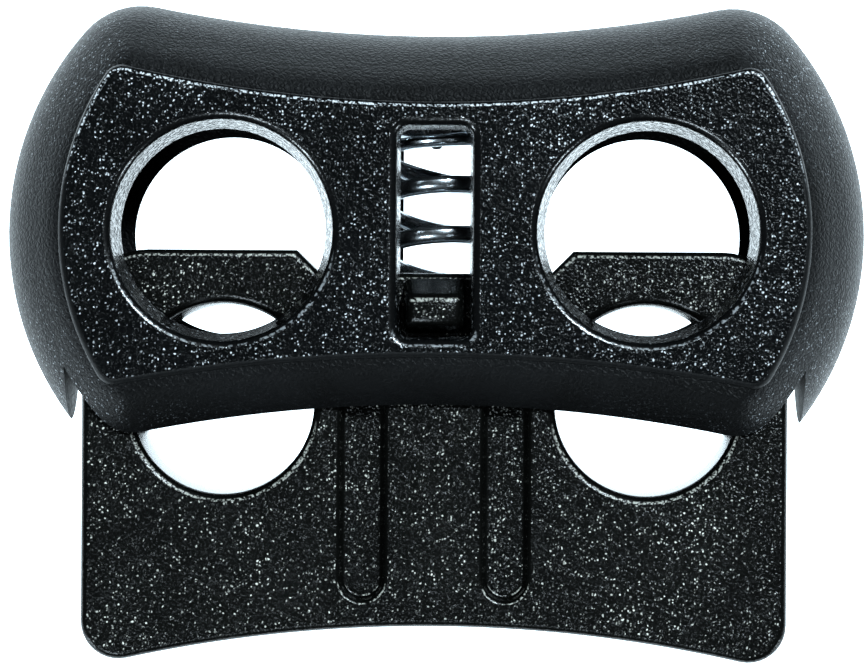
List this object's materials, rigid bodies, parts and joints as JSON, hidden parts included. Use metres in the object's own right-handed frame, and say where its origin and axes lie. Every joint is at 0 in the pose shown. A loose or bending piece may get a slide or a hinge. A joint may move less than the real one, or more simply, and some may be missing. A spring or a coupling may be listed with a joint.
{
  "type": "cord lock",
  "caption": "Flat two-hole spring cord lock: a waisted sleeve with two cord holes and a window, and a sprung slider plate whose holes line up with them when it is pushed in.",
  "frame": {"origin": "under the middle of the whole lock at rest, on the plane that the back face lies on", "axes": "+X across the two cord holes, +Y from the thumb end towards the closed end of the housing, +Z from the back face to the front face"},
  "size_m": [0.025, 0.019, 0.007],
  "materials": {
    "housing_plastic": "black moulded plastic, coarse spark texture on the flat panels and a fine matte texture on the rounded rim",
    "plunger_plastic": "black moulded plastic, coarse spark texture",
    "spring_steel": "bright drawn spring wire"
  },
  "bodies": {
    "housing": {"housing": "housing_plastic", "spring": "spring_steel"},
    "plunger": {"plunger": "plunger_plastic"}
  },
  "joints": [
    {"name": "plunger_slide", "type": "slide", "parent": "housing", "child": "plunger", "axis": [0, 1, 0], "range_m": [0, 0.0041], "stiffness_N_per_m": 2000, "deforming": ["spring"]}
  ]
}
